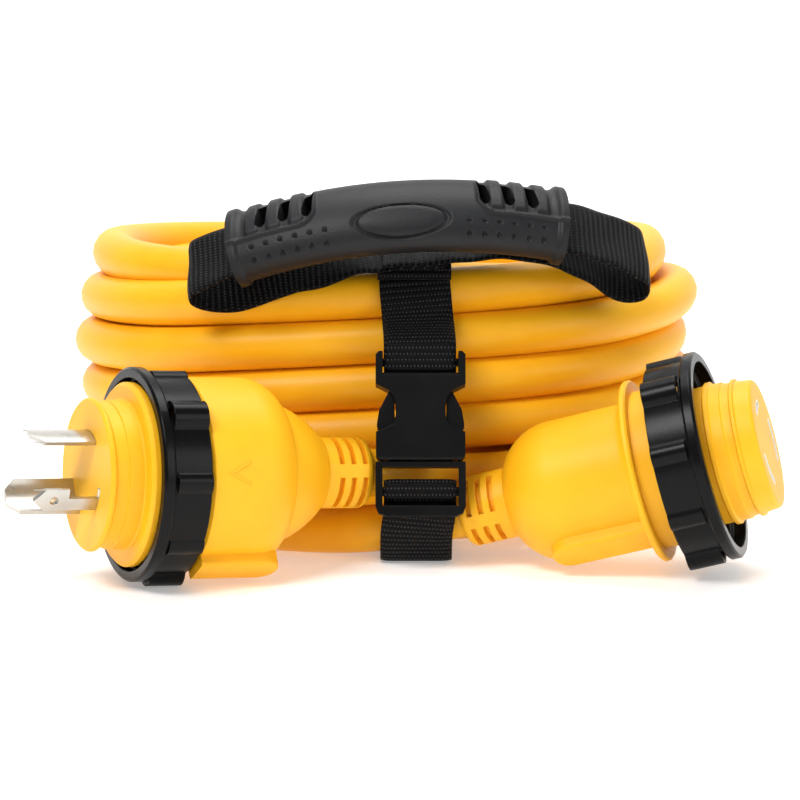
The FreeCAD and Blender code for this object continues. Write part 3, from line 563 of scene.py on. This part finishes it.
def make_seam():
    """The middle of the handle's webbing, sewn to the strap over the bundle's edge."""
    x = STRAP_TOP_X
    control = [at(x, -98.9, 99.6), at(x, -98.4, 102.0), at(x, -96.4, 104.6), at(x, -91.5, 105.2),
               at(x, -84.0, 105.2), at(x, -75.5, 105.2)]
    seam, length = make_band("seam_band", control, lambda share: Vector((1, 0, 0)), WEBBING,
                             "root", ("handle_seam",), SEAM_W)
    vertices, faces = [], []
    for y in STITCH_ROWS:
        for place in range(STITCHES):
            add_stitch(vertices, faces, x - 11.0 + place * STITCH_PITCH, y)
    new_mesh("seam_thread", vertices, faces, SEAL, "root", ("seam_stitching",))


def add_stitch(vertices, faces, start, y):
    """One stitch: a short thread that rises out of the webbing and goes back in."""
    sections, sides = 7, 8
    base = len(vertices)
    for i in range(sections):
        t = i / (sections - 1)
        z = STITCH_Z + STITCH_LIFT * math.sin(math.pi * t)
        for k in range(sides):
            a = 2 * math.pi * k / sides
            r = STITCH_R * (0.55 + 0.45 * math.sin(math.pi * t))
            vertices.append(at(start + STITCH_L * t, y + r * math.cos(a), z + r * math.sin(a)))
    for i in range(sections - 1):
        for k in range(sides):
            a, b = base + i * sides + k, base + i * sides + (k + 1) % sides
            faces.append((a, b, b + sides, a + sides))
    faces.append(tuple(base + k for k in reversed(range(sides))))
    faces.append(tuple(base + (sections - 1) * sides + k for k in range(sides)))


def bump_mask(distance, soft):
    """1 inside a shape, 0 outside, smooth over the soft width."""
    t = min(1.0, max(0.0, 0.5 - distance / soft))
    return t * t * (3 - 2 * t)


def grip_lift(u, w):
    """Height of the grip's moulded detail at u along it and w across its upper face: end lips,
    recessed window zones, dots and the pad. On the lower face, w is past the grip's edge."""
    end = abs(u)
    lift = 1.2 * bump_mask(GRIP_HALF_L - 1.8 - end, 1.8)
    # each end's zone: recessed inside a ridge, with raised ribs between its windows
    dx, dy = ZONE_START + ZONE_CORNER - end, ZONE_EDGE + ZONE_CORNER - w
    zone = math.hypot(max(dx, 0), max(dy, 0)) + min(max(dx, dy), 0) - ZONE_CORNER
    if w > -GRIP_W:
        lift += bump_mask(abs(zone) - 0.5, 1.1) * bump_mask(w - 10.0, 6.0)
        lift -= 0.7 * bump_mask(zone + 1.2, 1.0) * bump_mask(end - GRIP_HALF_L + 3.0, 2.0)
        for rib in RIBS:
            shape = max(abs(end - rib) - 2.3, abs(w - 5.0) - 10.5)
            lift += 1.1 * bump_mask(shape, 1.6) * bump_mask(zone + 1.6, 1.6)
    for row in DOT_ROWS:
        for k in range(DOTS):
            spot = math.hypot(end - DOT_START - DOT_PITCH * k, w - row)
            lift -= bump_mask(spot - DOT_R, 0.6)
    oval = math.hypot((u - PAD_MID[0]) / PAD_HALF[0], (w - PAD_MID[1]) / PAD_HALF[1])
    lift -= bump_mask(abs(oval - 1.0) * 6.5 - 0.35, 0.7)
    lift += 0.5 * bump_mask((oval - 0.86) * 6.0, 3.0)
    return lift


def make_grip():
    """The moulded grip: an oval section swept on its arc, with windows cut into its upper side."""
    along, round_it = 380, 200
    vertices, faces = [], []
    half_angle = math.asin(GRIP_HALF_L / GRIP_ARC_R)
    for i in range(along + 1):
        turn = half_angle * (2 * i / along - 1)
        u = GRIP_ARC_R * turn
        for k in range(round_it):
            a = 2 * math.pi * k / round_it
            v, h = GRIP_W / 2 * math.cos(a), GRIP_T / 2 * math.sin(a)
            normal = Vector((0, math.cos(a) / (GRIP_W / 2), math.sin(a) / (GRIP_T / 2))).normalized()
            w = v if h > 0 else math.copysign(GRIP_W, v)
            lift = grip_lift(u, w)
            v, h = v + normal.y * lift, h + normal.z * lift
            r = GRIP_ARC_R + h
            vertices.append(on_handle(r * math.sin(turn), v, GRIP_RISE - GRIP_ARC_R
                                      + r * math.cos(turn)))
    for i in range(along):
        for k in range(round_it):
            a, b = i * round_it + k, i * round_it + (k + 1) % round_it
            faces.append((a, b, b + round_it, a + round_it))
    faces.append(tuple(reversed(range(round_it))))
    last = along * round_it
    faces.append(tuple(range(last, last + round_it)))
    grip = new_mesh("handle_grip_body", vertices, faces, GRIP, "handle",
                    ("handle_grip", "handle_pad"), smooth=False)
    cutter = make_grip_cutter()
    modifier = grip.modifiers.new("windows", "BOOLEAN")
    modifier.operation = "DIFFERENCE"
    modifier.object = cutter
    modifier.solver = "EXACT"
    bpy.context.view_layer.update()
    graph = bpy.context.evaluated_depsgraph_get()
    mesh = bpy.data.meshes.new_from_object(grip.evaluated_get(graph))
    grip.modifiers.clear()
    old = grip.data
    grip.data = mesh
    bpy.data.meshes.remove(old)
    bpy.data.objects.remove(cutter)
    grip.data.shade_smooth()
    grip.data.set_sharp_from_angle(angle=math.radians(50))


def make_grip_cutter():
    """The grip's slanted windows: closed prisms that end just above the webbing inside it."""
    mesh = bpy.data.meshes.new("cutter")
    shape = bmesh.new()

    def add_prism(outline, low, high, place):
        bottom = [shape.verts.new(place(x, y, low)) for x, y in outline]
        top = [shape.verts.new(place(x, y, high)) for x, y in outline]
        shape.faces.new(list(reversed(bottom)))
        shape.faces.new(top)
        for i in range(len(outline)):
            j = (i + 1) % len(outline)
            shape.faces.new((bottom[i], bottom[j], top[j], top[i]))

    for side in (-1, 1):
        for middle in WINDOWS:
            turn = math.asin(side * middle / GRIP_ARC_R)
            turn_matrix = Matrix.Rotation(turn, 4, "Y")
            shift = Vector((side * middle, 0, arc_height(middle)))
            outline = []
            for k in range(20):
                a = 2 * math.pi * k / 20
                x = WINDOW_R * math.cos(a)
                y = WINDOW_MID + (WINDOW_HALF if math.sin(a) > 0 else -WINDOW_HALF)
                y += WINDOW_R * math.sin(a)
                outline.append((x + side * -0.12 * (y - 1.6), y))

            def place(x, y, z, turn_matrix=turn_matrix, shift=shift):
                return on_handle(*(turn_matrix @ Vector((x, y, z)) + shift))

            add_prism(outline, 1.0, 16.0, place)
    shape.to_mesh(mesh)
    shape.free()
    cutter = bpy.data.objects.new("cutter", mesh)
    bpy.context.scene.collection.objects.link(cutter)
    return cutter


# ------------------------------------------------------------------ connector slots
def make_slot_liners():
    """White liners round the three curved slots of the connector's face."""
    vertices, faces = [], []
    for middle, spread in SLOTS:
        half = math.radians((spread + SLOT_ROOM) / 2)
        mid = math.radians(180 - (SLOT_TURN - middle))
        steps = 18
        outlines = []
        for inset in (LINER_FIT, LINER_IN):
            r_in, r_out = SLOT_R - SLOT_HALF_T + inset, SLOT_R + SLOT_HALF_T - inset
            trim = half - inset / SLOT_R
            ring = [(r_out, mid - trim + 2 * trim * i / steps) for i in range(steps + 1)]
            ring += [(r_in, mid + trim - 2 * trim * i / steps) for i in range(steps + 1)]
            outlines.append(ring)
        count = len(outlines[0])
        base = len(vertices)
        outer, inner = outlines
        for ring, z in ((outer, -SLOT_DEPTH), (outer, LINER_OUT), (inner, LINER_OUT),
                        (inner, -SLOT_DEPTH)):
            for r, a in ring:
                vertices.append(CONN @ Vector((r * math.cos(a), r * math.sin(a), z)))
        for layer in range(4):
            for i in range(count):
                j = (i + 1) % count
                a, b = base + layer * count + i, base + layer * count + j
                c = base + ((layer + 1) % 4) * count
                faces.append((a, b, c + j, c + i))
    new_mesh("slot_liners", vertices, faces, IVORY, "root", smooth=False)


# ------------------------------------------------------------------ stage and lights
def make_stage():
    """A sheet of white paper under the object that curves up behind it, in metres."""
    half_width, front, back, bend, top, steps = 6.0, -3.0, 1.6, 0.8, 4.0, 12
    profile = [(front, 0.0), (back - bend, 0.0)]
    for k in range(1, steps + 1):
        a = math.pi / 2 * k / steps
        profile.append((back - bend + bend * math.sin(a), bend - bend * math.cos(a)))
    profile.append((back, top))
    vertices = [(x, y, z) for y, z in profile for x in (-half_width, half_width)]
    faces = [(2 * i, 2 * i + 1, 2 * i + 3, 2 * i + 2) for i in range(len(profile) - 1)]
    mesh = bpy.data.meshes.new("floor")
    mesh.from_pydata(vertices, [], faces)
    mesh.materials.append(plain_floor("floor_paper"))
    mesh.shade_smooth()
    floor = bpy.data.objects.new("floor", mesh)
    bpy.context.scene.collection.objects.link(floor)


def make_light(name, place, target, size, power):
    data = bpy.data.lights.new(name, "AREA")
    data.shape = "RECTANGLE"
    data.size, data.size_y = size
    data.energy = power
    light = bpy.data.objects.new(name, data)
    light.location = place
    light.rotation_euler = (Vector(target) - Vector(place)).to_track_quat("-Z", "Y").to_euler()
    bpy.context.scene.collection.objects.link(light)


def make_lights():
    target = (0, 0, 0.05)
    make_light("key", (-0.7, -1.1, 1.5), target, (0.8, 0.6), 24.0)
    make_light("fill", (1.3, -1.1, 0.6), target, (0.7, 0.9), 6.0)
    make_light("top", (0.1, 0.3, 1.6), target, (1.2, 0.8), 18.0)
    world = bpy.data.worlds.new("studio")
    world.use_nodes = True
    world.node_tree.nodes["Background"].inputs["Color"].default_value = (1, 1, 1, 1)
    world.node_tree.nodes["Background"].inputs["Strength"].default_value = 0.30
    bpy.context.scene.view_settings.view_transform = "Standard"
    bpy.context.scene.world = world


make_camera()
make_cord()
finish_cad_nodes()
make_strap()
make_seam()
make_handle_webbing()
make_grip()
make_slot_liners()
make_stage()
make_lights()
